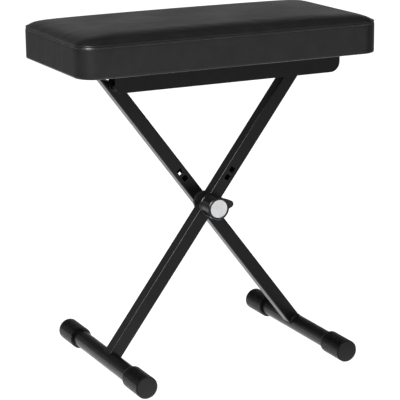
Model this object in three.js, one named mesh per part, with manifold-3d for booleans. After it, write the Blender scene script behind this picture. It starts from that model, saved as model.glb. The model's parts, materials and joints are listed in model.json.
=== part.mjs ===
// Folding X-frame keyboard bench: padded seat on a steel channel, two crossed
// square-tube legs, and a quick-release lock on the pivot where the legs cross.
// Millimetres, +Z up, origin on the floor under the middle of the seat,
// +X along the seat, -Y towards the sitter's side that carries the lock.

import * as THREE from 'three';
import { mergeVertices } from 'three/addons/utils/BufferGeometryUtils.js';
import Module from 'manifold-3d';

const wasm = await Module();
wasm.setup();

// ---------------------------------------------------------------- driving dimensions

const GAP = 0.3;                        // clearance left between touching pieces
const LEAN = THREE.MathUtils.degToRad(36.9);    // each leg's angle from the vertical

const SEAT = { length: 586, width: 293, corner: 36, rim: 567.4, seam: 624.4, top: 640 };
const COVER = { thickness: 1.2, turnIn: 26, shoulder: 34 };
const BOARD = { bottom: SEAT.rim + 1.5, thickness: 12, inset: 4 };

const LEG = { width: 25.4, wall: 1.5, corner: 2.5, lower: 339, upper: 289.2, y: 15.8 };
const MITRE = { beyondPin: 13, angle: LEAN + THREE.MathUtils.degToRad(16) };
const SQUARE_HOLE = { size: 10, heights: [59.5, 76] };

const FOOT = { radius: 15.9, wall: 1.5, halfLength: 176 };
const CAP = { radius: 20.7, valley: 19.4, start: 120, end: 182, ribs: 44, endWall: 5.5 };

const CHANNEL = { left: -183, right: 274.7, bottom: 516.4, top: 563.8, front: -30.5, sheet: 1.5 };
const CHANNEL_CORNER = { left: 12, right: 19 };
const STRAP = { width: 36, length: 212, thickness: 3, xs: [-120, 150], screwY: 90 };

const PIVOT = { bolt: 5, disc: 20, pitch: 14.5, step: THREE.MathUtils.degToRad(20) };
const PLUNGER = { tip: 1.8, collar: 2.9 };
const ROLLER = { axle: 3, groove: 8, flange: 10.5 };
const SEAT_PIN = 4;

const LOCK = { flange: 22.3, body: 20.4, wall: 2, back: -28.8, front: -49.8 };
const LEVER = {
  outer: 21.3, recess: 17.2, back: LOCK.front - GAP, front: -64.4, tipRadius: 6.8, tabAngle: 0.244,
};

const crossingX = 2.3;                  // the legs cross a little off the seat's middle
const crossingZ = CAP.radius + LEG.lower * Math.cos(LEAN);
const pinX = crossingX - LEG.upper * Math.sin(LEAN);
const pinZ = crossingZ + LEG.upper * Math.cos(LEAN);
const legInner = LEG.y - LEG.width / 2;         // leg face next to the gap between the legs
const legOuter = LEG.y + LEG.width / 2;
const closedSpread = THREE.MathUtils.degToRad(-66);

// ---------------------------------------------------------------- materials

const material = (color, roughness, metalness) =>
  new THREE.MeshStandardMaterial({ color, roughness, metalness });
const VINYL = material(0x262626, 0.45, 0);
const POWDER = material(0x232323, 0.5, 0.2);
const RUBBER = material(0x171717, 0.8, 0);
const PLASTIC = material(0x1c1c1c, 0.4, 0);
const NYLON = material(0xd8d6cf, 0.45, 0);
const ZINC = material(0x9a9da1, 0.35, 1);
const BLACK_STEEL = material(0x1e1e1f, 0.4, 0.6);
const FOAM = material(0xd9cda6, 0.95, 0);
const PLYWOOD = material(0xb58e5c, 0.75, 0);
const CLOTH = material(0x191919, 0.95, 0);
const LABEL = material(0xd9dadb, 0.4, 0);

// ---------------------------------------------------------------- helpers

function toManifold(geometry) {
  const bare = geometry.clone();
  bare.deleteAttribute('normal');
  bare.deleteAttribute('uv');
  const welded = mergeVertices(bare, 1e-5);
  return new wasm.Manifold(new wasm.Mesh({
    numProp: 3,
    vertProperties: Float32Array.from(welded.attributes.position.array),
    triVerts: Uint32Array.from(welded.index.array),
  }));
}

function fromManifold(manifold) {
  const { vertProperties, triVerts } = manifold.getMesh();
  const geometry = new THREE.BufferGeometry();
  geometry.setAttribute('position', new THREE.BufferAttribute(new Float32Array(vertProperties), 3));
  geometry.setIndex(new THREE.BufferAttribute(new Uint32Array(triVerts), 1));
  geometry.computeVertexNormals();
  return geometry;
}

const subtract = (geometry, ...tools) =>
  fromManifold(tools.reduce((body, tool) => body.subtract(toManifold(tool)), toManifold(geometry)));
const unite = (geometry, ...others) =>
  fromManifold(others.reduce((body, other) => body.add(toManifold(other)), toManifold(geometry)));
const intersect = (a, b) => fromManifold(toManifold(a).intersect(toManifold(b)));

function named(name, geometry, surface) {
  const mesh = new THREE.Mesh(geometry, surface.clone());
  mesh.name = name;
  return mesh;
}

function at(mesh, x, y, z) {
  mesh.position.set(x, y, z);
  return mesh;
}

// A box given by its low and high corners.
function block([x0, y0, z0], [x1, y1, z1]) {
  return new THREE.BoxGeometry(x1 - x0, y1 - y0, z1 - z0)
    .translate((x0 + x1) / 2, (y0 + y1) / 2, (z0 + z1) / 2);
}

// A round bar along Y between two depths, centred on (x, z).
const barY = (radius, y0, y1, x = 0, z = 0, sides = 24) =>
  new THREE.CylinderGeometry(radius, radius, y1 - y0, sides).translate(x, (y0 + y1) / 2, z);
const barZ = (radius, z0, z1, x, y, sides = 20) =>
  new THREE.CylinderGeometry(radius, radius, z1 - z0, sides)
    .rotateX(Math.PI / 2).translate(x, y, (z0 + z1) / 2);

// A flat outline drawn in X and Z, given thickness between two depths in Y.
const plateY = (shape, y0, y1, curveSegments = 4) =>
  new THREE.ExtrudeGeometry(shape, { depth: y1 - y0, bevelEnabled: false, curveSegments })
    .rotateX(Math.PI / 2).translate(0, y1, 0);
const plateZ = (shape, z0, z1, curveSegments = 3) =>
  new THREE.ExtrudeGeometry(shape, { depth: z1 - z0, bevelEnabled: false, curveSegments })
    .translate(0, 0, z0);

// A ring, washer or cup turned about the Y axis from a closed list of [radius, y] points.
const turned = (profile, sides = 40) =>
  new THREE.LatheGeometry([...profile, profile[0]].map(([r, y]) => new THREE.Vector2(r, y)), sides);
const washer = (inner, outer, y0, y1, sides = 24) =>
  turned([[inner, y0], [outer, y0], [outer, y1], [inner, y1]], sides);

function roundedRectangle(length, width, radius) {
  const shape = new THREE.Shape();
  const [x, y] = [length / 2 - radius, width / 2 - radius];
  shape.absarc(x, y, radius, 0, Math.PI / 2);
  shape.absarc(-x, y, radius, Math.PI / 2, Math.PI);
  shape.absarc(-x, -y, radius, Math.PI, 1.5 * Math.PI);
  shape.absarc(x, -y, radius, 1.5 * Math.PI, 2 * Math.PI);
  shape.closePath();
  return shape;
}

function hexBar(acrossFlats, y0, y1) {
  return new THREE.CylinderGeometry(acrossFlats / Math.sqrt(3), acrossFlats / Math.sqrt(3), y1 - y0, 6)
    .translate(0, (y0 + y1) / 2, 0);
}

// ---------------------------------------------------------------- seat

// Points of the seat's outline, moved inwards by an inset.
function seatOutline(inset, perCorner = 6) {
  const radius = SEAT.corner - inset;
  const [cx, cy] = [SEAT.length / 2 - SEAT.corner, SEAT.width / 2 - SEAT.corner];
  const points = [];
  for (const [sx, sy, start] of [[1, 1, 0], [-1, 1, 1], [-1, -1, 2], [1, -1, 3]]) {
    for (let i = 0; i <= perCorner; i += 1) {
      const angle = (start + i / perCorner) * Math.PI / 2;
      points.push([sx * cx + radius * Math.cos(angle), sy * cy + radius * Math.sin(angle)]);
    }
  }
  return points;
}

// A solid skinned over seat outlines, each given as [inset, z], from the bottom
// centre out and back to the top centre, or round a closed section.
function skinned(levels, closed = false) {
  const loops = levels.map(([inset, z]) => seatOutline(inset).map(([x, y]) => [x, y, z]));
  const count = loops[0].length;
  const positions = loops.flat(2);
  const index = [];
  const bands = closed ? loops.length : loops.length - 1;
  for (let level = 0; level < bands; level += 1) {
    const [low, high] = [level * count, ((level + 1) % loops.length) * count];
    for (let i = 0; i < count; i += 1) {
      const j = (i + 1) % count;
      index.push(low + i, low + j, high + j, low + i, high + j, high + i);
    }
  }
  if (!closed) {
    const [bottom, top] = [positions.length / 3, positions.length / 3 + 1];
    positions.push(0, 0, levels[0][1], 0, 0, levels.at(-1)[1]);
    const last = (loops.length - 1) * count;
    for (let i = 0; i < count; i += 1) {
      const j = (i + 1) % count;
      index.push(bottom, j, i, top, last + i, last + j);
    }
  }
  const geometry = new THREE.BufferGeometry();
  geometry.setAttribute('position', new THREE.Float32BufferAttribute(positions, 3));
  geometry.setIndex(index);
  geometry.computeVertexNormals();
  return geometry;
}

// The crowned top: it rises quickly behind the seam and levels out towards the middle.
function crown(drop, inset0, rise = SEAT.top - SEAT.seam) {
  const [steps, sharpness] = [6, 2.1];
  return Array.from({ length: steps + 1 }, (_, i) => {
    const share = i / steps;
    const height = (1 - Math.exp(-sharpness * share)) / (1 - Math.exp(-sharpness));
    return [inset0 + (COVER.shoulder - inset0) * share, SEAT.seam - drop + rise * height];
  });
}

function coverTop() {
  const inner = crown(COVER.thickness - GAP, COVER.thickness + 2).reverse();
  const outer = crown(-GAP, 2);
  return skinned([...inner, ...outer]);
}

function coverBand() {
  const [rim, t] = [SEAT.rim, COVER.thickness];
  const top = SEAT.seam - 2;
  return skinned([[COVER.turnIn, rim], [3, rim], [0.8, rim + 0.8], [0, rim + 3], [0, top],
    [t, top], [t, rim + 3], [3, rim + t], [COVER.turnIn, rim + t]], true);
}

function seamPiping() {
  const [radius, sides] = [1.2, 8];
  return skinned(Array.from({ length: sides }, (_, i) => {
    const angle = (i / sides) * 2 * Math.PI;
    return [0.4 - radius * Math.cos(angle), SEAT.seam - 0.5 + radius * Math.sin(angle)];
  }), true);
}

function foamPad(bottom) {
  const side = COVER.thickness + 1.4;
  return skinned([[side, bottom], [side, SEAT.seam - 3], ...crown(COVER.thickness + 1, side + 2)]);
}

const screwPlaces = STRAP.xs.flatMap((x) => [[x, -STRAP.screwY], [x, STRAP.screwY]]);
const boardTop = BOARD.bottom + BOARD.thickness;

function seatBoard() {
  const { inset } = BOARD;
  const outline = roundedRectangle(SEAT.length - 2 * inset, SEAT.width - 2 * inset, SEAT.corner - inset);
  const holes = screwPlaces.map(([x, y]) => barZ(4.3, BOARD.bottom - 1, boardTop + 1, x, y));
  return subtract(plateZ(outline, BOARD.bottom, boardTop), ...holes);
}

function dustCover() {
  const inset = 2 * (COVER.turnIn + 0.8);
  const outline = roundedRectangle(SEAT.length - inset, SEAT.width - inset, SEAT.corner - COVER.turnIn - 0.8);
  const [z0, z1] = [SEAT.rim + 0.3, SEAT.rim + 1.1];
  return subtract(plateZ(outline, z0, z1), ...screwPlaces.map(([x, y]) => barZ(3, z0 - 1, z1 + 1, x, y)));
}

// Turned about Z by building along Y and tipping up.
const turnedZ = (profile, x, y, sides = 20) => turned(profile, sides).rotateX(Math.PI / 2).translate(x, y, 0);

const teeNut = (x, y) => turnedZ([
  [2.8, BOARD.bottom + 2], [4, BOARD.bottom + 2], [4, boardTop + GAP], [9, boardTop + GAP],
  [9, boardTop + 1.4], [2.8, boardTop + 1.4]], x, y);

const seatScrew = (x, y) => turnedZ([
  [0, CHANNEL.top - 3], [3.4, CHANNEL.top - 3], [5.2, CHANNEL.top - 1.6], [5.2, CHANNEL.top],
  [2.5, CHANNEL.top], [2.5, boardTop - 1], [0, boardTop - 1]], x, y);

function crossStrap(x) {
  const [z0, z1] = [CHANNEL.top + GAP, CHANNEL.top + GAP + STRAP.thickness];
  const outline = roundedRectangle(STRAP.width, STRAP.length, 8);
  const holes = [-1, 1].map((side) => barZ(2.9, z0 - 1, z1 + 1, 0, side * STRAP.screwY));
  return subtract(plateZ(outline, z0, z1), ...holes).translate(x, 0, 0);
}

// What is cut away to round one lower corner of the channel; inward is +1 at the left end.
function cornerTrim(end, inward, radius) {
  const { bottom, top, front } = CHANNEL;
  const side = new THREE.Shape();
  side.moveTo(end - inward, top + 1);
  side.lineTo(end - inward, bottom - 1);
  side.lineTo(end + inward * radius, bottom - 1);
  side.lineTo(end + inward * radius, bottom);
  const finish = inward > 0 ? -Math.PI : 0;
  side.absarc(end + inward * radius, bottom + radius, radius, -Math.PI / 2, finish, inward > 0);
  side.lineTo(end, top + 1);
  side.closePath();
  return plateY(side, front - 1, 1);
}

// Inverted U: a long front skirt, and a rear wall that carries the seat pivot in a
// full-height ear and stops short beyond it, so that its lower edge is the roller's rail.
function seatChannel() {
  const { left, right, bottom, top, front, sheet } = CHANNEL;
  const bend = 2.5;
  const section = new THREE.Shape();
  section.moveTo(0, bottom);
  section.lineTo(0, top - bend);
  section.absarc(-bend, top - bend, bend, 0, Math.PI / 2);
  section.lineTo(front + bend, top);
  section.absarc(front + bend, top - bend, bend, Math.PI / 2, Math.PI);
  section.lineTo(front, bottom);
  section.lineTo(front + sheet, bottom);
  section.lineTo(front + sheet, top - bend);
  section.absarc(front + bend, top - bend, bend - sheet, Math.PI, Math.PI / 2, true);
  section.lineTo(-bend, top - sheet);
  section.absarc(-bend, top - bend, bend - sheet, Math.PI / 2, 0, true);
  section.lineTo(-sheet, bottom);
  section.closePath();
  // The section is drawn in Y and Z, and is swept along X.
  const sweep = new THREE.Matrix4()
    .makeBasis(new THREE.Vector3(0, 1, 0), new THREE.Vector3(0, 0, 1), new THREE.Vector3(1, 0, 0))
    .setPosition(left, 0, 0);
  const settings = { depth: right - left, bevelEnabled: false, curveSegments: 4 };
  const body = new THREE.ExtrudeGeometry(section, settings).applyMatrix4(sweep);

  const railZ = pinZ + ROLLER.groove + GAP;
  const rail = new THREE.Shape();
  rail.moveTo(pinX + 19, bottom - 1);
  rail.lineTo(pinX + 25, railZ);
  rail.lineTo(right + 1, railZ);
  rail.lineTo(right + 1, bottom - 1);
  rail.closePath();
  const relief = plateY(rail, -sheet - 1, 1);
  const pinHole = barY(SEAT_PIN + GAP, -sheet - 1, 1, pinX, pinZ);
  return subtract(body, cornerTrim(left, 1, CHANNEL_CORNER.left), cornerTrim(right, -1, CHANNEL_CORNER.right),
    relief, pinHole);
}

function makeSeat() {
  const seat = new THREE.Group();
  seat.add(
    named('cover_top', coverTop(), VINYL),
    named('cover_band', coverBand(), VINYL),
    named('seam_piping', seamPiping(), VINYL),
    named('foam_pad', foamPad(boardTop + 2), FOAM),
    named('seat_board', seatBoard(), PLYWOOD),
    named('dust_cover', dustCover(), CLOTH),
    named('cross_strap_left', crossStrap(STRAP.xs[0]), POWDER),
    named('cross_strap_right', crossStrap(STRAP.xs[1]), POWDER),
    named('seat_channel', seatChannel(), POWDER),
  );
  screwPlaces.forEach(([x, y], i) => {
    seat.add(
      named(`tee_nut_${i + 1}`, teeNut(x, y), ZINC),
      named(`seat_screw_${i + 1}`, seatScrew(x, y), ZINC),
    );
  });
  return seat;
}

// ---------------------------------------------------------------- seat pivot

// Bolt head inside the channel, then the channel wall, a spacer, the back leg and a nut.
function makeSeatPivot() {
  const pivot = new THREE.Group();
  pivot.position.set(pinX, 0, pinZ);
  const headFront = -CHANNEL.sheet - GAP - 4.5;
  const head = hexBar(12, headFront, -CHANNEL.sheet - GAP);
  const bolt = unite(head, barY(SEAT_PIN, headFront + 1, legOuter + 9));
  const nut = subtract(hexBar(13, legOuter + 2.2, legOuter + 8), barY(SEAT_PIN + GAP, 0, legOuter + 12));
  pivot.add(
    named('seat_pivot_bolt', bolt, BLACK_STEEL),
    named('seat_pivot_spacer', washer(SEAT_PIN + GAP, 8.5, GAP, legInner - GAP), PLASTIC),
    named('seat_pivot_washer', washer(SEAT_PIN + GAP, 8, legOuter + GAP, legOuter + 1.9), BLACK_STEEL),
    named('seat_pivot_nut', nut, BLACK_STEEL),
  );
  return pivot;
}

// ---------------------------------------------------------------- legs
// A leg is drawn upright with the crossing at its origin, and its group leans it over.

// The slab under a leg's mitred end, between two distances below the cut.
function mitreSlab(side, below0, below1) {
  return new THREE.BoxGeometry(90, 60, below1 - below0)
    .translate(0, 0, -(below0 + below1) / 2)
    .rotateY(-side * MITRE.angle)
    .translate(0, 0, LEG.upper + MITRE.beyondPin);
}

function legTube(side, y, topHole, extraHoles) {
  const top = LEG.upper + 45;
  const outline = roundedRectangle(LEG.width, LEG.width, LEG.corner);
  const bore = LEG.width - 2 * LEG.wall;
  outline.holes.push(roundedRectangle(bore, bore, LEG.corner - LEG.wall));
  const tube = plateZ(outline, -LEG.lower, top, 3).translate(0, y, 0);
  const [y0, y1] = [y - LEG.width, y + LEG.width];
  const squares = SQUARE_HOLE.heights.map((height) => {
    const half = SQUARE_HOLE.size / 2;
    return block([-half, y0, height - half], [half, y1, height + half]);
  });
  return subtract(
    tube,
    mitreSlab(side, -60, 0),
    barY(FOOT.radius + GAP, y0, y1, 0, -LEG.lower, 32),
    barY(PIVOT.bolt + GAP, y0, y1, 0, 0),
    barY(topHole + GAP, y0, y1, 0, LEG.upper),
    ...squares,
    ...extraHoles,
  );
}

function legPlug(side, y) {
  const inside = LEG.width - 2 * (LEG.wall + GAP);
  const core = plateZ(roundedRectangle(inside, inside, 1), LEG.upper - 30, LEG.upper + 60);
  return intersect(core.translate(0, y, 0), mitreSlab(side, 0.6, 2.4));
}

// A ribbed rubber sleeve with a closed round end; one flat rib crest faces the floor.
function footCap(end) {
  const outline = new THREE.Shape();
  const pitch = (2 * Math.PI) / CAP.ribs;
  const point = (radius, angle) => [radius * Math.sin(angle), -radius * Math.cos(angle)];
  for (let i = 0; i < CAP.ribs; i += 1) {
    const crest = CAP.radius / Math.cos(0.25 * pitch);
    const places = [[crest, -0.25], [crest, 0.25], [CAP.valley, 0.5]];
    places.forEach(([radius, share]) => {
      const [x, z] = point(radius, (i + share) * pitch);
      if (i === 0 && share === -0.25) outline.moveTo(x, z);
      else outline.lineTo(x, z);
    });
  }
  outline.closePath();
  const sleeve = plateY(outline, CAP.start, CAP.end - 1.2);
  const tip = barY(CAP.radius - 1.4, CAP.end - 1.4, CAP.end, 0, 0, 28);
  const socket = barY(FOOT.radius + GAP, CAP.start - 1, CAP.end - CAP.endWall, 0, 0, 32);
  const cap = subtract(unite(sleeve, tip), socket);
  return end > 0 ? cap : cap.rotateZ(Math.PI);
}

const footTube = () => subtract(
  barY(FOOT.radius, -FOOT.halfLength, FOOT.halfLength, 0, 0, 32),
  barY(FOOT.radius - FOOT.wall, -FOOT.halfLength - 1, FOOT.halfLength + 1, 0, 0, 32),
);

// The foot tube and its two rubber caps, turned back level with the floor.
function makeFoot(side, label) {
  const foot = new THREE.Group();
  foot.position.set(0, 0, -LEG.lower);
  foot.rotation.y = -side * LEAN;
  foot.add(
    named(`foot_tube_${label}`, footTube(), POWDER),
    named(`foot_cap_${label}_front`, footCap(-1), RUBBER),
    named(`foot_cap_${label}_rear`, footCap(1), RUBBER),
  );
  return foot;
}

// Index disc on the back leg: one hole for each height, and one for the folded bench.
function indexDisc() {
  const angles = [-PIVOT.step, 0, PIVOT.step, closedSpread];
  const holes = angles.map((spread) => {
    const angle = 2 * LEAN + spread;
    const [x, z] = [PIVOT.pitch * Math.sin(angle), PIVOT.pitch * Math.cos(angle)];
    return barY(PLUNGER.tip + 0.2, -1, legInner + 1, x, z, 12);
  });
  return subtract(washer(PIVOT.bolt + GAP, PIVOT.disc, 0.15, legInner - GAP, 36), ...holes);
}

function makeBackLeg() {
  const [side, y] = [-1, LEG.y];
  const leg = new THREE.Group();
  leg.position.set(crossingX, 0, crossingZ);
  leg.rotation.y = side * LEAN;
  const nut = subtract(hexBar(16, legOuter + 2.4, legOuter + 10), barY(PIVOT.bolt + GAP, 0, legOuter + 14));
  leg.add(
    named('back_leg', legTube(side, y, SEAT_PIN, []), POWDER),
    named('back_leg_plug', legPlug(side, y), PLASTIC),
    named('index_disc', indexDisc(), BLACK_STEEL),
    named('pivot_washer', washer(PIVOT.bolt + GAP, 11, legOuter + GAP, legOuter + 2.1), BLACK_STEEL),
    named('pivot_nut', nut, BLACK_STEEL),
    makeFoot(side, 'right'),
  );
  return leg;
}

function frontDisc() {
  const hole = barY(PLUNGER.tip + 0.4, -legInner - 1, 1, 0, PIVOT.pitch, 12);
  return subtract(washer(PIVOT.bolt + GAP, PIVOT.disc, -legInner + GAP, -0.15, 36), hole);
}

function pivotBolt() {
  const headBack = LOCK.back - 3 - GAP;
  const bolt = unite(hexBar(16, headBack - 6.5, headBack), barY(PIVOT.bolt, headBack - 1, legOuter + 11));
  return subtract(bolt, barY(2.8, headBack - 10, headBack - 1.5, 0, 0, 20));
}

function lockHousing() {
  const { flange, body, wall, back, front } = LOCK;
  const bore = PIVOT.bolt + GAP;
  const profile = [
    [bore, back - 3], [body - wall, back - 3], [body - wall, front],
    [body, front], [body, back - 4.4], [body + 0.6, back - 3.4],
    [flange, back - 2.4], [flange, back], [bore, back],
  ];
  return subtract(turned(profile, 40), barY(PLUNGER.tip + 0.4, back - 5, back + 1, 0, PIVOT.pitch, 12));
}

function rollerAxle() {
  const shaft = barY(ROLLER.axle, -legOuter + GAP, 2.9);
  return subtract(shaft, washer(ROLLER.axle - 0.6, ROLLER.axle + 1, 2.05, 2.65));
}

function rollerClip() {
  const ring = new THREE.Shape();
  ring.absarc(0, 0, 5.4, -0.35 * Math.PI, 1.35 * Math.PI);
  ring.absarc(0, 0, ROLLER.axle - 0.35, 1.35 * Math.PI, -0.35 * Math.PI, true);
  ring.closePath();
  return plateY(ring, 2.1, 2.6, 10);
}

// Grooved roller that runs under the lower edge of the channel's rear wall.
function railRoller() {
  const { axle, groove, flange } = ROLLER;
  const [front, rear] = [-legInner + GAP, 1.8];
  return turned([[axle + GAP, front], [flange, front], [flange, front + 0.5], [groove, front + 0.95],
    [groove, 0.35], [flange, 0.8], [flange, rear], [axle + GAP, rear]], 28);
}

function makeFrontLeg() {
  const [side, y] = [1, -LEG.y];
  const leg = new THREE.Group();
  leg.position.set(crossingX, 0, crossingZ);
  leg.rotation.y = side * LEAN;
  const plungerHole = barY(PLUNGER.tip + 0.4, -legOuter - 5, 0, 0, PIVOT.pitch, 12);
  leg.add(
    named('front_leg', legTube(side, y, ROLLER.axle, [plungerHole]), POWDER),
    named('front_leg_plug', legPlug(side, y), PLASTIC),
    named('front_disc', frontDisc(), BLACK_STEEL),
    named('pivot_bolt', pivotBolt(), ZINC),
    named('lock_housing', lockHousing(), PLASTIC),
    at(named('roller_axle', rollerAxle(), ZINC), 0, 0, LEG.upper),
    at(named('roller_clip', rollerClip(), ZINC), 0, 0, LEG.upper),
    at(named('rail_roller', railRoller(), NYLON), 0, 0, LEG.upper),
    makeFoot(side, 'left'),
  );
  return leg;
}

// ---------------------------------------------------------------- lock

// The lever's thumb tab, drawn in X and Z from the ring's centre.
function tabOutline() {
  const ring = LEVER.outer - 0.8;
  const [tipX, tipZ] = [24.2 * Math.cos(LEVER.tabAngle), 24.2 * Math.sin(LEVER.tabAngle)];
  const upper = LEVER.tabAngle + 0.93;
  const lower = LEVER.tabAngle - 0.4;
  const shape = new THREE.Shape();
  shape.moveTo(0, 0);
  shape.lineTo(ring * Math.cos(lower), ring * Math.sin(lower));
  shape.absarc(tipX, tipZ, LEVER.tipRadius, lower - 1.25, upper);
  shape.lineTo(ring * Math.cos(upper), ring * Math.sin(upper));
  shape.closePath();
  return shape;
}

function releaseLever() {
  const { outer, recess, back, front } = LEVER;
  const [plateBack, plateFront] = [-57, -60];
  const inner = recess + 1.4;
  const ring = turned([[3.3, plateBack], [inner, plateBack], [inner, back], [outer - 0.6, back],
    [outer, back - 0.6], [outer, front + 1.4], [outer - 1.4, front], [recess, front], [recess, plateFront],
    [3.3, plateFront]].reverse(), 44);
  const tab = plateY(tabOutline(), front + 1.6, back - 3, 8);
  const core = barY(outer - 1.2, front - 1, back + 1);
  return unite(ring, subtract(tab, core));
}

const leverLabel = () => barY(LEVER.recess - 0.4, -64, -63, 0, 0, 44);

function leverScrew() {
  const stem = barY(2.5, -60.5, LOCK.back - 6, 0, 0, 20);
  return unite(turned([[0, -62.6], [3.6, -62.6], [5, -61.4], [5, -60.3], [0, -60.3]], 24), stem);
}

function makeLever() {
  const lever = new THREE.Group();
  lever.position.set(crossingX, 0, crossingZ);
  lever.add(
    named('release_lever', releaseLever(), PLASTIC),
    named('lever_label', leverLabel(), LABEL),
    named('lever_screw', leverScrew(), ZINC),
  );
  return lever;
}

// Sprung plunger that drops into the index disc.
function lockPlunger() {
  return turned([[0, -0.3], [0, -51], [PLUNGER.collar, -51], [PLUNGER.collar, -48.5], [PLUNGER.tip, -48.5],
    [PLUNGER.tip, -1], [PLUNGER.tip - 0.5, -0.3]], 20);
}

class Helix extends THREE.Curve {
  constructor(radius, turns, y0, y1) {
    super();
    Object.assign(this, { radius, turns, y0, y1 });
  }

  getPoint(t, target = new THREE.Vector3()) {
    const angle = 2 * Math.PI * this.turns * t;
    const y = this.y0 + (this.y1 - this.y0) * t;
    return target.set(this.radius * Math.cos(angle), y, this.radius * Math.sin(angle));
  }
}

function plungerSpring() {
  const wire = new THREE.Shape();
  wire.absarc(0, 0, 0.3, 0, 2 * Math.PI);
  const extrudePath = new Helix(2.45, 6, -47.9, LOCK.back - 3.8);
  return new THREE.ExtrudeGeometry(wire, { extrudePath, steps: 66, curveSegments: 3, bevelEnabled: false });
}

function makePlunger() {
  const plunger = new THREE.Group();
  const [across, up] = [PIVOT.pitch * Math.sin(LEAN), PIVOT.pitch * Math.cos(LEAN)];
  plunger.position.set(crossingX + across, 0, crossingZ + up);
  plunger.add(
    named('lock_plunger', lockPlunger(), ZINC),
    named('plunger_spring', plungerSpring(), ZINC),
  );
  return plunger;
}

// ---------------------------------------------------------------- assembly

const bench = new THREE.Group();
bench.add(makeSeat(), makeSeatPivot(), makeBackLeg(), makeFrontLeg(), makeLever(), makePlunger());

export default bench;
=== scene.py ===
"""Looks of the folding keyboard bench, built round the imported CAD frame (Blender 4.5)."""
import json
import math
import random

import bmesh
import bpy
from mathutils import Matrix, Vector
from mathutils.bvhtree import BVHTree


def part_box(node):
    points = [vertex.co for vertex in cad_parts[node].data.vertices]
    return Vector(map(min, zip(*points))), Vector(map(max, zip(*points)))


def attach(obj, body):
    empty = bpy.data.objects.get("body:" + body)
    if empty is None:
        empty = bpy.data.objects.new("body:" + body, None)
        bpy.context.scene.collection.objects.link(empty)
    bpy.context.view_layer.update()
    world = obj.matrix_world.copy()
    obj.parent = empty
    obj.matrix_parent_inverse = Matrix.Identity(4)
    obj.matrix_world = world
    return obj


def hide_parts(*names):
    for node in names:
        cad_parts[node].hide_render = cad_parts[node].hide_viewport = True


MM = 0.001
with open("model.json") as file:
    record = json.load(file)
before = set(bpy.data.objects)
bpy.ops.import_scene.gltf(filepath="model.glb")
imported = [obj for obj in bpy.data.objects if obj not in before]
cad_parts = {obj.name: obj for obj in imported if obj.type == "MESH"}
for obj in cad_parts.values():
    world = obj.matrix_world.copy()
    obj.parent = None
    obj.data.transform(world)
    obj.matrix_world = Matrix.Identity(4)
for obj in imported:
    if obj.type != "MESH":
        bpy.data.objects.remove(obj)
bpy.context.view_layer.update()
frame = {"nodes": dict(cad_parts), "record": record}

SEAT_LOW, SEAT_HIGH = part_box("cover_band")
RIM = SEAT_LOW.z
SEAM = sum(corner.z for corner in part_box("seam_piping")) / 2
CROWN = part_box("cover_top")[1].z
SEAT_LENGTH = SEAT_HIGH.x - SEAT_LOW.x
SEAT_WIDTH = SEAT_HIGH.y - SEAT_LOW.y
SEAT_CENTRE = (SEAT_LOW + SEAT_HIGH) / 2
CORNER = 36 * MM
TURN_IN = 26 * MM
PAD_OUTLINE = (8, 160)


# ------------------------------------------------------------------ camera, floor, light

def make_camera():
    """The photograph's view: from the front left, a little above, on a long lens."""
    azimuth, elevation, roll = (math.radians(a) for a in (26.17, 14.56, -0.61))
    target, distance = Vector((-0.0048, 0, 0.2950)), 3.160
    back = Vector((-math.sin(azimuth) * math.cos(elevation),
                   -math.cos(azimuth) * math.cos(elevation), math.sin(elevation)))
    right = (-back).cross(Vector((0, 0, 1))).normalized()
    up = right.cross(-back)
    rolled_right = math.cos(roll) * right + math.sin(roll) * up
    rolled_up = math.cos(roll) * up - math.sin(roll) * right
    turn = Matrix((rolled_right, rolled_up, back)).transposed().to_4x4()
    camera = bpy.data.objects.new("camera", bpy.data.cameras.new("camera"))
    camera.matrix_world = Matrix.Translation(target + distance * back) @ turn
    camera.data.lens = 153.5
    camera.data.clip_end = 100
    bpy.context.collection.objects.link(camera)
    bpy.context.scene.camera = camera


def shader(name, **values):
    """A new material and its Principled node, with plain values set on its sockets."""
    material = bpy.data.materials.new(name)
    material.use_nodes = True
    principled = material.node_tree.nodes["Principled BSDF"]
    for socket, value in values.items():
        principled.inputs[socket.replace("_", " ")].default_value = value
    return material, principled


def colour_ramp(tree, value, stops):
    """A colour ramp over a value, from (position, colour) pairs."""
    ramp = tree.nodes.new("ShaderNodeValToRGB")
    elements = ramp.color_ramp.elements
    while len(elements) < len(stops):
        elements.new(0.5)
    for element, (position, colour) in zip(elements, stops):
        element.position = position
        element.color = (*colour, 1)
    tree.links.new(value, ramp.inputs["Fac"])
    return ramp.outputs["Color"]


def grey_ramp(tree, value, stops):
    """A colour ramp of greys over a value, from (position, grey) pairs."""
    return colour_ramp(tree, value, [(position, (grey, grey, grey)) for position, grey in stops])


def math_node(tree, operation, *values):
    """A Math node over numbers or sockets, in the order of its inputs."""
    node = tree.nodes.new("ShaderNodeMath")
    node.operation = operation
    for socket, value in zip(node.inputs, values):
        if isinstance(value, (int, float)):
            socket.default_value = value
        else:
            tree.links.new(value, socket)
    return node.outputs[0]


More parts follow.
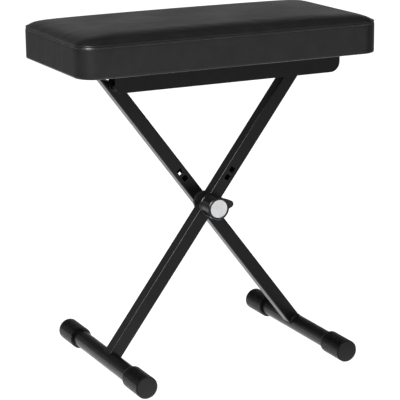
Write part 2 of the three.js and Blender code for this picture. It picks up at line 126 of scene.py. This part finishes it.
def floor_material():
    """White to the camera; as a light it is strong near the bench and weak to the bench's sides."""
    pool_centre, side_slope = (-0.1, 0.75, 0), 0.8
    material, principled = shader("floor_white", Base_Color=(0.35, 0.35, 0.35, 1), Roughness=0.9,
                                  Specular_IOR_Level=0.05, Emission_Color=(1, 1, 1, 1))
    tree = material.node_tree
    place = tree.nodes.new("ShaderNodeNewGeometry").outputs["Position"]
    split = tree.nodes.new("ShaderNodeSeparateXYZ")
    tree.links.new(place, split.inputs["Vector"])
    reach = tree.nodes.new("ShaderNodeVectorMath")
    reach.operation = "DISTANCE"
    reach.inputs[1].default_value = pool_centre
    tree.links.new(place, reach.inputs[0])
    half_reach = math_node(tree, "MULTIPLY", reach.outputs["Value"], 0.5)
    near = grey_ramp(tree, half_reach, [(0.47, 1), (0.58, 0)])
    sideways = math_node(tree, "ABSOLUTE", split.outputs["X"])
    aside = math_node(tree, "MULTIPLY_ADD", sideways, side_slope, split.outputs["Y"])
    ahead = grey_ramp(tree, math_node(tree, "MULTIPLY", aside, -1), [(0, 0.1), (0.3, 0.6)])
    pool = math_node(tree, "MAXIMUM", near, ahead)
    seen = tree.nodes.new("ShaderNodeLightPath").outputs["Is Camera Ray"]
    tree.links.new(math_node(tree, "MAXIMUM", pool, seen), principled.inputs["Emission Strength"])
    return material


def make_stage():
    """The white floor and the sky."""
    side = 14
    mesh = bpy.data.meshes.new("floor")
    mesh.from_pydata([(-side, -side, 0), (side, -side, 0), (side, side, 0), (-side, side, 0)],
                     [], [(0, 1, 2, 3)])
    mesh.materials.append(floor_material())
    floor = bpy.data.objects.new("floor", mesh)
    bpy.context.collection.objects.link(floor)

    make_sky()
    bpy.context.scene.view_settings.view_transform = "Standard"


def make_sky():
    """A dim studio: a wide soft box in front, a grey wall behind, little light overhead."""
    world = bpy.data.worlds.new("studio")
    world.use_nodes = True
    tree = world.node_tree
    direction = tree.nodes.new("ShaderNodeTexCoord").outputs["Generated"]
    split = tree.nodes.new("ShaderNodeSeparateXYZ")
    tree.links.new(direction, split.inputs["Vector"])
    height = split.outputs["Z"]
    behind = grey_ramp(tree, height, [(0.02, 0.12), (0.14, 0.25), (0.2, 0.50), (0.27, 0.44), (0.35, 0.10),
                                      (0.6, 0.04), (0.95, 0.22)])
    ahead = grey_ramp(tree, height, [(0.10, 0.10), (0.38, 0.9), (0.68, 0.9), (0.85, 0.05)])
    forward = math_node(tree, "MULTIPLY", split.outputs["Y"], -1)
    mix = tree.nodes.new("ShaderNodeMix")
    mix.data_type = "RGBA"
    factor, first, second = (socket for socket in mix.inputs if socket.enabled)
    tree.links.new(grey_ramp(tree, forward, [(0.05, 0), (0.35, 1)]), factor)
    tree.links.new(behind, first)
    tree.links.new(ahead, second)
    result = next(socket for socket in mix.outputs if socket.enabled)
    tree.links.new(result, tree.nodes["Background"].inputs["Color"])
    bpy.context.scene.world = world


def make_light():
    """One large soft lamp, high in front on the left."""
    place, aim = Vector((-2.0, -1.5, 2.0)), Vector((0, 0, 0.4))
    light = bpy.data.lights.new("key_light", "AREA")
    light.shape = "RECTANGLE"
    light.size = light.size_y = 1.2
    light.energy = 100
    lamp = bpy.data.objects.new("key_light", light)
    lamp.location = place
    lamp.rotation_euler = (aim - place).to_track_quat("-Z", "Y").to_euler()
    bpy.context.collection.objects.link(lamp)


# ------------------------------------------------------------------ materials

USUAL_NOISE = (0.3, 0.7)


class Nodes:
    """Small helper that adds nodes to a material and links them."""

    def __init__(self, material):
        self.tree = material.node_tree
        self.principled = self.tree.nodes["Principled BSDF"]
        self.place = self.add("ShaderNodeTexCoord").outputs["Object"]

    def add(self, kind, links=(), **values):
        node = self.tree.nodes.new(kind)
        for socket, value in values.items():
            node.inputs[socket.replace("_", " ")].default_value = value
        for socket, source in dict(links).items():
            self.tree.links.new(source, node.inputs[socket])
        return node

    def noise(self, scale, detail=3, roughness=0.55, stretch=None):
        place = self.place
        if stretch:
            place = self.add("ShaderNodeMapping", {"Vector": place}, Scale=stretch).outputs["Vector"]
        return self.add("ShaderNodeTexNoise", {"Vector": place}, Scale=scale, Detail=detail,
                        Roughness=roughness).outputs["Fac"]

    def cells(self, scale, feature="F1"):
        node = self.add("ShaderNodeTexVoronoi", {"Vector": self.place}, Scale=scale)
        node.feature = feature
        return node.outputs["Distance"]

    def span(self, value, low, high):
        """Maps a texture's usual values to a range."""
        start, stop = USUAL_NOISE
        return self.add("ShaderNodeMapRange", {"Value": value}, From_Min=start, From_Max=stop,
                        To_Min=low, To_Max=high).outputs["Result"]

    def colour(self, value, dark, light):
        """Drives the base colour between two colours."""
        start, stop = USUAL_NOISE
        colour = colour_ramp(self.tree, value, [(start, dark), (stop, light)])
        self.tree.links.new(colour, self.principled.inputs["Base Color"])

    def rough(self, value):
        self.tree.links.new(value, self.principled.inputs["Roughness"])

    def bump(self, *layers):
        """Bump layers, each a height texture with its depth in millimetres."""
        normal = None
        for height, depth in layers:
            links = {"Height": height}
            if normal:
                links["Normal"] = normal
            node = self.add("ShaderNodeBump", links, Strength=1, Distance=depth * MM)
            normal = node.outputs["Normal"]
        self.tree.links.new(normal, self.principled.inputs["Normal"])


def vinyl():
    """Black upholstery vinyl: fine pebbled grain, soft broad unevenness, semi-gloss."""
    material, _ = shader("black_vinyl", Specular_IOR_Level=0.42)
    n = Nodes(material)
    broad = n.noise(9, 2)
    n.colour(n.noise(35, 4), (0.004, 0.004, 0.0044), (0.008, 0.008, 0.0084))
    n.rough(n.span(broad, 0.30, 0.38))
    gathers = n.noise(30, 2, stretch=(1, 1, 0.15))
    n.bump((n.cells(900, "SMOOTH_F1"), 0.06), (n.noise(420, 3), 0.05), (n.noise(150, 3), 0.24),
           (gathers, 1.0), (broad, 0.8))
    return material


def powder_coat():
    """Satin black powder coat with a fine orange-peel surface and rubbed, slightly duller patches."""
    material, _ = shader("black_powder_coat", Specular_IOR_Level=0.24)
    n = Nodes(material)
    n.colour(n.noise(30, 4), (0.003, 0.003, 0.0032), (0.005, 0.005, 0.0053))
    n.rough(n.span(n.noise(55, 3), 0.26, 0.34))
    n.bump((n.noise(1100, 2), 0.02), (n.noise(260, 2), 0.03))
    return material


def rubber():
    """Moulded black rubber, semi-gloss, with a slight bloom in the noise."""
    material, _ = shader("black_rubber", Specular_IOR_Level=0.34)
    n = Nodes(material)
    n.colour(n.noise(70, 5), (0.002, 0.002, 0.002), (0.004, 0.004, 0.004))
    n.rough(n.span(n.noise(160, 3), 0.24, 0.32))
    n.bump((n.noise(1500, 3), 0.03), (n.noise(140, 2), 0.06))
    return material


def black_plastic():
    """Fine spark-eroded moulded plastic."""
    material, _ = shader("black_plastic", Specular_IOR_Level=0.36)
    n = Nodes(material)
    n.colour(n.noise(60, 3), (0.004, 0.004, 0.004), (0.007, 0.007, 0.007))
    n.rough(n.span(n.noise(300, 3), 0.24, 0.34))
    n.bump((n.noise(2200, 2), 0.015))
    return material


def zinc():
    """Zinc-plated steel with a faint cloudy passivation."""
    material, _ = shader("zinc_plate", Metallic=1)
    n = Nodes(material)
    n.colour(n.noise(120, 4), (0.42, 0.43, 0.45), (0.62, 0.62, 0.6))
    n.rough(n.span(n.noise(240, 3), 0.25, 0.42))
    n.bump((n.noise(900, 3), 0.02))
    return material


def black_steel():
    """Blackened fastener steel, slightly oily."""
    material, _ = shader("black_steel", Metallic=0.35, Specular_IOR_Level=0.4)
    n = Nodes(material)
    n.colour(n.noise(90, 4), (0.010, 0.010, 0.010), (0.022, 0.022, 0.022))
    n.rough(n.span(n.noise(260, 3), 0.3, 0.45))
    n.bump((n.noise(1300, 3), 0.015))
    return material


def nylon():
    """Natural nylon, slightly translucent."""
    material, _ = shader("natural_nylon", Subsurface_Weight=0.15, Subsurface_Scale=0.002)
    n = Nodes(material)
    n.colour(n.noise(80, 3), (0.66, 0.64, 0.58), (0.8, 0.78, 0.72))
    n.rough(n.span(n.noise(300, 2), 0.35, 0.5))
    n.bump((n.noise(1200, 2), 0.02))
    return material


def plywood():
    """Raw plywood: long grain on the faces and thin plies on the edges."""
    material, _ = shader("plywood", Specular_IOR_Level=0.3)
    n = Nodes(material)
    grain = n.noise(14, 6, 0.65, stretch=(1, 14, 60))
    n.colour(grain, (0.28, 0.17, 0.08), (0.52, 0.36, 0.2))
    n.rough(n.span(grain, 0.6, 0.8))
    n.bump((grain, 0.15))
    return material


def foam():
    """Yellowish open-cell foam."""
    material, _ = shader("open_cell_foam", Specular_IOR_Level=0.2)
    n = Nodes(material)
    n.colour(n.noise(400, 4), (0.52, 0.44, 0.26), (0.78, 0.7, 0.48))
    n.rough(n.span(n.noise(90, 2), 0.85, 0.98))
    n.bump((n.cells(700), 0.35))
    return material


def dust_cloth():
    """Non-woven black cloth: short bonded fibres, embossed with a fine point pattern."""
    material, _ = shader("dust_cloth", Specular_IOR_Level=0.15)
    n = Nodes(material)
    fibres = n.noise(900, 4, 0.7, stretch=(1, 0.35, 1))
    n.colour(fibres, (0.012, 0.012, 0.012), (0.035, 0.035, 0.035))
    n.rough(n.span(fibres, 0.85, 0.98))
    n.bump((n.cells(650), 0.12), (fibres, 0.08))
    return material


def thread():
    """Bonded upholstery thread."""
    material, _ = shader("black_thread", Specular_IOR_Level=0.35, Sheen_Weight=0.3)
    n = Nodes(material)
    twist = n.noise(2500, 2)
    n.colour(twist, (0.012, 0.012, 0.013), (0.035, 0.035, 0.037))
    n.rough(n.span(twist, 0.5, 0.7))
    n.bump((twist, 0.08))
    return material


def label():
    """Pale grey lacquered insert with a very fine grain."""
    material, _ = shader("pale_label", Specular_IOR_Level=0.5, Coat_Weight=0.3, Coat_Roughness=0.15)
    n = Nodes(material)
    n.colour(n.noise(90, 3), (0.50, 0.51, 0.52), (0.57, 0.58, 0.59))
    n.rough(n.span(n.noise(500, 2), 0.28, 0.38))
    n.bump((n.noise(1600, 2), 0.01))
    return material


MAKERS = (vinyl, powder_coat, rubber, black_plastic, black_steel, zinc, nylon, plywood, foam,
          dust_cloth, label, thread)
MATERIALS = {make.__name__: make() for make in MAKERS}


# ------------------------------------------------------------------ CAD nodes

BEVELS = {"powder_coat": 0.5, "black_plastic": 0.6, "black_steel": 0.3, "zinc": 0.25, "nylon": 0.25,
          "label": 0.3, "plywood": 2.5}


def soften_edges(node, width):
    """Bevels a node's edges, and keeps its flat faces looking flat."""
    bevel = node.modifiers.new("soft_edges", "BEVEL")
    bevel.width = width
    bevel.segments = 2
    bevel.limit_method = "ANGLE"
    bevel.angle_limit = math.radians(32)
    normals = node.modifiers.new("flat_faces_stay_flat", "WEIGHTED_NORMAL")
    normals.weight = 80


def dress_cad_nodes():
    """Gives every CAD node its material, and softened edges where its slot is listed in BEVELS; the rubber
    ribs keep crisp flat facets.
    """
    slots = {s["node"]: s["material_slot"] for s in frame["record"]["subparts"]}
    for name, node in frame["nodes"].items():
        slot = slots[name]
        node.data.materials.clear()
        node.data.materials.append(MATERIALS[slot])
        for polygon in node.data.polygons:
            polygon.use_smooth = slot != "rubber"
        weld = node.modifiers.new("weld", "WELD")
        weld.merge_threshold = 0.01 * MM
        flats = node.modifiers.new("flats", "DECIMATE")
        flats.decimate_type = "DISSOLVE"
        flats.angle_limit = math.radians(1.5)
        if slot in BEVELS:
            soften_edges(node, BEVELS[slot] * MM)


# ------------------------------------------------------------------ small mesh tools

def new_piece(name, vertices, faces, material, body, smooth=True):
    mesh = bpy.data.meshes.new(name)
    mesh.from_pydata([tuple(v) for v in vertices], [], faces)
    mesh.validate()
    piece = bpy.data.objects.new(name, mesh)
    bpy.context.collection.objects.link(piece)
    mesh.materials.append(material)
    for polygon in mesh.polygons:
        polygon.use_smooth = smooth
    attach(piece, body)
    return piece


def apply_modifiers(obj):
    """Replaces an object's mesh by what its modifiers make of it."""
    depsgraph = bpy.context.evaluated_depsgraph_get()
    mesh = bpy.data.meshes.new_from_object(obj.evaluated_get(depsgraph))
    obj.modifiers.clear()
    obj.data = mesh


def rounded_box(centre, half, radius, per_corner):
    """Points round a rectangle's rounded corners; half reaches from its centre to the corners' own."""
    points = []
    for sx, sy, quarter in ((1, 1, 0), (-1, 1, 1), (-1, -1, 2), (1, -1, 3)):
        corner = Vector((centre.x + sx * half[0], centre.y + sy * half[1]))
        for i in range(per_corner + 1):
            angle = (quarter + i / per_corner) * math.pi / 2
            points.append(corner + radius * Vector((math.cos(angle), math.sin(angle))))
    return points


def seat_outline(inset, per_corner, count):
    """Evenly spaced points round the seat's outline, moved in by an inset, anticlockwise from above."""
    radius = max(CORNER - inset, 0.5 * MM)
    half = (SEAT_LENGTH / 2 - inset - radius, SEAT_WIDTH / 2 - inset - radius)
    return even_points(rounded_box(SEAT_CENTRE, half, radius, per_corner), count)


def even_points(points, count):
    """The same closed loop with its points at even spacing."""
    lengths = [(points[(i + 1) % len(points)] - p).length for i, p in enumerate(points)]
    step = sum(lengths) / count
    made, i, along = [], 0, 0
    for k in range(count):
        want = k * step
        while along + lengths[i] < want:
            along += lengths[i]
            i += 1
        start, stop = points[i], points[(i + 1) % len(points)]
        made.append(start.lerp(stop, (want - along) / lengths[i]))
    return made


def loop_skin(loops, closed):
    """Vertices and faces of a skin through equal loops of points; ends are fanned shut unless closed."""
    count = len(loops[0])
    vertices = [p for loop in loops for p in loop]
    faces = []
    rows = len(loops) if closed else len(loops) - 1
    for row in range(rows):
        low, high = row * count, ((row + 1) % len(loops)) * count
        for i in range(count):
            j = (i + 1) % count
            faces.append((low + i, low + j, high + j, high + i))
    if not closed:
        faces.append(tuple(reversed(range(count))))
        faces.append(tuple(range((len(loops) - 1) * count, len(loops) * count)))
    return vertices, faces


def turned(faces):
    """The same faces, looking the other way."""
    return [tuple(reversed(face)) for face in faces]


def add_shape(vertices, faces, shape_vertices, shape_faces):
    """Adds one small shape to the lists of a growing mesh."""
    start = len(vertices)
    vertices += shape_vertices
    faces += [tuple(start + i for i in face) for face in shape_faces]


# ------------------------------------------------------------------ seat cushion

def from_centre(place):
    """Where a point lies from the middle of the seat, in plan."""
    return Vector((place.x - SEAT_CENTRE.x, place.y - SEAT_CENTRE.y, 0))


def crown_height(place):
    """Height of the top panel over a point: quick behind the seam, slower towards the two ends."""
    seam_fall, side_fall, end_fall, long_fall, margin = (size * MM for size in (6, 15, 12, 90, 3))
    end_share = 0.75
    flat = from_centre(place)
    inset = max(edge_inset(flat), 0)
    from_end = max(SEAT_LENGTH / 2 - abs(flat.x), 0) + margin
    from_side = max(SEAT_WIDTH / 2 - abs(flat.y), 0) + margin
    rise = 1 - math.exp(-inset / seam_fall)
    rise *= 1 - end_share * math.exp(-from_end / end_fall) - (1 - end_share) * math.exp(-from_end / long_fall)
    return SEAM + (CROWN - SEAM) * rise * (1 - math.exp(-from_side / side_fall))


def hold_form(pad):
    """Holds the settled cover to its tailored shape: only 0.3 of its own unevenness is kept."""
    keep, hem, squareness = 0.3, 7 * MM, 8
    for vertex in pad.data.vertices:
        place = vertex.co
        flat = from_centre(place)
        inset, up = edge_inset(flat), place.z - RIM
        if place.z > SEAM:
            place.z = keep * place.z + (1 - keep) * crown_height(place)
        elif up > hem:
            if inset < hem:
                place += edge_normal(flat) * inset * (1 - keep)
        elif inset < hem:
            # The folded hem is tight, so the rounded corner is pushed out to a nearly square one.
            across, down = hem - inset, hem - up
            stretch = hem / (across ** squareness + down ** squareness) ** (1 / squareness)
            place += edge_normal(flat) * across * (stretch - 1)
            place.z = RIM + hem - down * stretch


def cushion_form(shrink):
    """The pad before it swells, as levels of the seat outline from the underside to the crown."""
    side = [(2.2 * MM, RIM), (0.6 * MM, RIM + 1 * MM), (0, RIM + 3 * MM)]
    side += [(0, RIM + share * (SEAM - RIM)) for share in (0.25, 0.5, 0.75, 1)]
    loops = [[Vector((p.x, p.y, z)) for p in seat_outline(inset + shrink, *PAD_OUTLINE)] for inset, z in side]
    for inset in (1, 3, 6, 10, 15, 20, 26, 32, 45, 60, 80, 110):
        outline = seat_outline(inset * MM + shrink, *PAD_OUTLINE)
        loops.append([Vector((p.x, p.y, crown_height(p) - 2 * shrink)) for p in outline])
    return loop_skin(loops, closed=False)


def pin_weight(place):
    """The hem is stapled down, the band is glued to firm foam, and the top is free."""
    if place.z < RIM + 4 * MM:
        return 1.0
    if place.z < SEAM + 2 * MM:
        return 0.75 if abs(place.z - SEAM) < 4 * MM else 0.5
    return 0.0


def swell(pad, cap):
    """Inflates the pad a little by cloth simulation and caps how far any point moves."""
    frames = 20
    before = [v.co.copy() for v in pad.data.vertices]
    pins = pad.vertex_groups.new(name="pins")
    for vertex in pad.data.vertices:
        pins.add([vertex.index], pin_weight(vertex.co), "REPLACE")
    cloth = pad.modifiers.new("cloth", "CLOTH")
    cloth.settings.quality = 4
    cloth.settings.mass = 0.3
    cloth.settings.tension_stiffness = 6
    cloth.settings.compression_stiffness = 6
    cloth.settings.bending_stiffness = 0.6
    cloth.settings.use_pressure = True
    cloth.settings.uniform_pressure_force = 4
    cloth.settings.vertex_group_mass = "pins"
    cloth.settings.effector_weights.gravity = 0
    cloth.collision_settings.use_collision = False
    scene = bpy.context.scene
    for number in range(1, frames + 1):
        scene.frame_set(number)
    apply_modifiers(pad)
    scene.frame_set(1)
    for vertex, start in zip(pad.data.vertices, before):
        move = vertex.co - start
        if move.length > cap:
            vertex.co = start + move * (cap / move.length)


def remesh(obj, size):
    """Rebuilds an object's surface as an even mesh with cells of one size."""
    modifier = obj.modifiers.new("remesh", "REMESH")
    modifier.mode = "VOXEL"
    modifier.voxel_size = size
    modifier.use_smooth_shade = True
    apply_modifiers(obj)


def fit_to_seat(pad):
    """Brings the cover's outside back to the seat's own size after the cloth has settled."""
    places = [v.co for v in pad.data.vertices]
    low = Vector([min(p[k] for p in places) for k in range(3)])
    high = Vector([max(p[k] for p in places) for k in range(3)])
    want_low = Vector((SEAT_LOW.x, SEAT_LOW.y, RIM))
    want_high = Vector((SEAT_HIGH.x, SEAT_HIGH.y, CROWN))
    for vertex in pad.data.vertices:
        for k in range(3):
            share = (vertex.co[k] - low[k]) / (high[k] - low[k])
            vertex.co[k] = want_low[k] + share * (want_high[k] - want_low[k])


def crease_seam(pad):
    """Pulls the cover in along the seam, where the top panel is sewn to the band."""
    reach, depth, rim_band = 5 * MM, 1.9 * MM, 9 * MM
    for vertex in pad.data.vertices:
        off = abs(vertex.co.z - SEAM)
        flat = from_centre(vertex.co)
        if off < reach and edge_inset(flat) < rim_band:
            vertex.co -= edge_normal(flat) * depth * (1 - off / reach) ** 2


def edge_vector(flat):
    """From the straight core of the seat's outline to a point, both measured from the centre."""
    hx, hy = SEAT_LENGTH / 2 - CORNER, SEAT_WIDTH / 2 - CORNER
    core = Vector((max(-hx, min(hx, flat.x)), max(-hy, min(hy, flat.y)), 0))
    return flat - core


def edge_inset(flat):
    return CORNER - edge_vector(flat).length


def edge_normal(flat):
    reach = edge_vector(flat)
    return reach.normalized() if reach.length > 1e-6 else Vector((0, 0, 0))


def open_underside(pad):
    """Cuts the middle of the underside away, so that the cover is a real shell with a turned-in hem."""
    bm = bmesh.new()
    bm.from_mesh(pad.data)
    bottom = []
    for face in bm.faces:
        centre = face.calc_center_median()
        flat = from_centre(centre)
        inside = max(abs(flat.x) - SEAT_LENGTH / 2, abs(flat.y) - SEAT_WIDTH / 2)
        if centre.z < RIM + 3 * MM and face.normal.z < -0.5 and inside < -TURN_IN:
            bottom.append(face)
    bmesh.ops.delete(bm, geom=bottom, context="FACES")
    bm.to_mesh(pad.data)
    bm.free()


def make_cushion():
    """One taut vinyl cover: swollen by simulation, held to form, creased at its seam, open underneath."""
    shrink = 1.5 * MM
    vertices, faces = cushion_form(shrink)
    pad = new_piece("seat_cover", vertices, faces, MATERIALS["vinyl"], "seat")
    remesh(pad, 5 * MM)
    swell(pad, cap=2.5 * MM)
    smooth = pad.modifiers.new("smooth", "SMOOTH")
    smooth.factor, smooth.iterations = 0.5, 4
    apply_modifiers(pad)
    subdivide = pad.modifiers.new("subdivide", "SUBSURF")
    subdivide.levels = subdivide.render_levels = 1
    apply_modifiers(pad)
    fit_to_seat(pad)
    hold_form(pad)
    crease_seam(pad)
    open_underside(pad)
    for polygon in pad.data.polygons:
        polygon.use_smooth = True
    skin = pad.modifiers.new("thickness", "SOLIDIFY")
    skin.thickness = 1.1 * MM
    skin.offset = -1
    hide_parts("cover_top", "cover_band")
    return pad


def surface_ring(pad, count, z):
    """Points on the cover's surface round the seat at one height, with outward normals."""
    reach = 20 * MM
    tree = BVHTree.FromObject(pad, bpy.context.evaluated_depsgraph_get())
    ring = []
    for p in seat_outline(0, 12, count):
        outward = edge_normal(from_centre(p))
        start = Vector((p.x, p.y, z)) + outward * reach
        hit, _, _, _ = tree.ray_cast(start, -outward, 2 * reach)
        ring.append((hit if hit else Vector((p.x, p.y, z)), outward))
    return ring


def tube_ring(name, ring, radius, rise, out, sides, material):
    """A closed tube round the seat that follows a ring of surface points."""
    loops = []
    for k in range(sides):
        angle = -2 * math.pi * k / sides
        offset = (out + radius * math.cos(angle), rise + radius * math.sin(angle))
        loops.append([p + n * offset[0] + Vector((0, 0, offset[1])) for p, n in ring])
    vertices, faces = loop_skin(loops, closed=True)
    return new_piece(name, vertices, turned(faces), material, "seat")


def make_piping(pad):
    ring = surface_ring(pad, 420, SEAM)
    piping = tube_ring("seam_welt", ring, 1.4 * MM, 0.3 * MM, 1.0 * MM, 10, MATERIALS["vinyl"])
    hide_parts("seam_piping")


def stitch(place, along, outward):
    """Vertices and faces of one stitch, whose two ends dive into the cover."""
    length, radius, sides = 3.1 * MM, 0.28 * MM, 6
    up = along.cross(outward).normalized()
    loops = []
    for share, lift, thick in ((0, -0.3, 0.4), (0.2, 0.25, 1), (0.8, 0.25, 1), (1, -0.3, 0.4)):
        middle = place + along * length * share + outward * lift * 2 * radius
        angles = [2 * math.pi * k / sides for k in range(sides)]
        loops.append([middle + thick * radius * (outward * math.cos(a) + up * math.sin(a)) for a in angles])
    return loop_skin(loops, closed=False)


def make_stitches(pad):
    """Short stitches in the band just under the piping."""
    pitch, below_seam = 4.2 * MM, 4.2 * MM
    around = 2 * (SEAT_LENGTH + SEAT_WIDTH - 4 * CORNER) + 2 * math.pi * CORNER
    ring = surface_ring(pad, round(around / pitch), SEAM - below_seam)
    vertices, faces = [], []
    for (p, n), (q, _) in zip(ring, ring[1:] + ring[:1]):
        add_shape(vertices, faces, *stitch(p, (q - p).normalized(), n))
    new_piece("seam_stitches", vertices, faces, MATERIALS["thread"], "seat")


def make_foam():
    """The foam block under the cover, with softened lower edges and a rounded top."""
    low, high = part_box("foam_pad")
    edge, shoulder, round_in, clearance, steps = 2 * MM, SEAM - 14 * MM, 34 * MM, 5 * MM, 8
    inset = abs(SEAT_LOW.x - low.x) + 1 * MM
    levels = [(inset + edge, low.z), (inset, low.z + edge), (inset, shoulder)]
    rise = high.z - clearance - shoulder
    for step in range(1, steps + 1):
        angle = step / steps * math.pi / 2
        levels.append((inset + round_in * (1 - math.cos(angle)), shoulder + rise * math.sin(angle)))
    loops = [[Vector((p.x, p.y, z)) for p in seat_outline(i, *PAD_OUTLINE)] for i, z in levels]
    vertices, faces = loop_skin(loops, closed=False)
    block = new_piece("foam_block", vertices, faces, MATERIALS["foam"], "seat")
    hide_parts("foam_pad")


# ------------------------------------------------------------------ underside

def make_dust_cloth():
    """Stretched cloth under the board, slightly slack between its fixings."""
    low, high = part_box("dust_cover")
    nx, ny, slack, wrinkle = 60, 28, 0.5 * MM, 0.12 * MM
    vertices, faces = [], []
    for j in range(ny + 1):
        for i in range(nx + 1):
            u, v = i / nx, j / ny
            sag = slack * math.sin(math.pi * u) * math.sin(math.pi * v)
            ripple = wrinkle * math.sin(23 * u) * math.sin(17 * v + 3 * u)
            vertices.append((low.x + u * (high.x - low.x), low.y + v * (high.y - low.y),
                             high.z - sag + ripple))
    for j in range(ny):
        for i in range(nx):
            a = j * (nx + 1) + i
            faces.append((a, a + nx + 1, a + nx + 2, a + 1))
    cloth = new_piece("dust_cloth", vertices, faces, MATERIALS["dust_cloth"], "seat")
    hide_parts("dust_cover")


def staple(centre, along):
    """Vertices and faces of one flat-wire staple crown with its two short legs into the board."""
    half, wire, leg = 5 * MM, 0.45 * MM, 1.6 * MM
    bend_in, bend_up = 0.5 * MM, 0.2 * MM
    side = Vector((-along.y, along.x, 0))
    up = Vector((0, 0, 1))
    path = [(-half, leg), (-half, bend_up), (-half + bend_in, 0),
            (half - bend_in, 0), (half, bend_up), (half, leg)]
    section = ((-wire, 0), (wire, 0), (wire, wire), (-wire, wire))
    loops = [[centre + along * x + side * dy + up * (z + dz) for dy, dz in section] for x, z in path]
    vertices, faces = loop_skin(loops, closed=False)
    return vertices, turned(faces)


def make_staples():
    """A row of staples round the turned-in hem, none of them quite straight."""
    inset, count, slant, sunk = 16 * MM, 62, 0.25, 0.55 * MM
    chance = random.Random(7)
    vertices, faces = [], []
    spots = seat_outline(inset, 8, count)
    for p, q in zip(spots, spots[1:] + spots[:1]):
        along = Vector((q.x - p.x, q.y - p.y, 0)).normalized()
        along.rotate(Matrix.Rotation(chance.uniform(-slant, slant), 3, "Z"))
        add_shape(vertices, faces, *staple(Vector((p.x, p.y, RIM - sunk)), along))
    new_piece("hem_staples", vertices, faces, MATERIALS["zinc"], "seat", smooth=False)


# ------------------------------------------------------------------ frame details

def leg_axis(node):
    """Direction up a leg, from the middle of its foot tube to the crossing."""
    low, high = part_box(node)
    foot = Vector(((low.x + high.x) / 2, 0, (low.z + high.z) / 2))
    crossing = sum((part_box("pivot_bolt")[k] for k in (0, 1)), Vector()) / 2
    return foot, (Vector((crossing.x, 0, crossing.z)) - foot).normalized()


def weld_bead(name, foot_node, leg_node, body):
    """The weld that runs round a leg where it is saddled on its foot tube."""
    foot, up = leg_axis(foot_node)
    low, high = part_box(leg_node)
    y_middle, half = (low.y + high.y) / 2, (high.y - low.y) / 2
    radius = (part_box(foot_node)[1].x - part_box(foot_node)[0].x) / 2
    across = Vector((up.z, 0, -up.x))
    middle = foot + Vector((0, y_middle, 0)) + up * radius
    count, sides, corner = 120, 8, 2.5 * MM
    bead, wave, waves, unevenness, flatness = 1.7, 0.25, count / 5, 0.1, 0.9
    chance = random.Random(len(name))
    outline = rounded_box(Vector((0, 0)), (half - corner, half - corner), corner, 6)
    loops = []
    for i, p in enumerate(even_points(outline, count)):
        height = math.sqrt(max(radius ** 2 - p.x ** 2, 0))
        spot = foot + across * p.x + up * height + Vector((0, y_middle + p.y, 0))
        outward = spot - middle
        outward -= up * outward.dot(up)
        outward.normalize()
        swing = wave * math.sin(2 * math.pi * waves * i / count)
        thick = (bead + swing + chance.uniform(-unevenness, unevenness)) * MM
        angles = [2 * math.pi * k / sides for k in range(sides)]
        loops.append([spot + outward * thick * math.cos(a) + up * thick * flatness * math.sin(a)
                      for a in angles])
    vertices, faces = loop_skin(loops, closed=True)
    new_piece(name, vertices, faces, MATERIALS["powder_coat"], body)


# ------------------------------------------------------------------ build

make_camera()
make_stage()
make_light()
dress_cad_nodes()
cushion = make_cushion()
make_piping(cushion)
make_stitches(cushion)
make_foam()
make_dust_cloth()
make_staples()
weld_bead("weld_left", "foot_tube_left", "front_leg", "front_leg")
weld_bead("weld_right", "foot_tube_right", "back_leg", "back_leg")
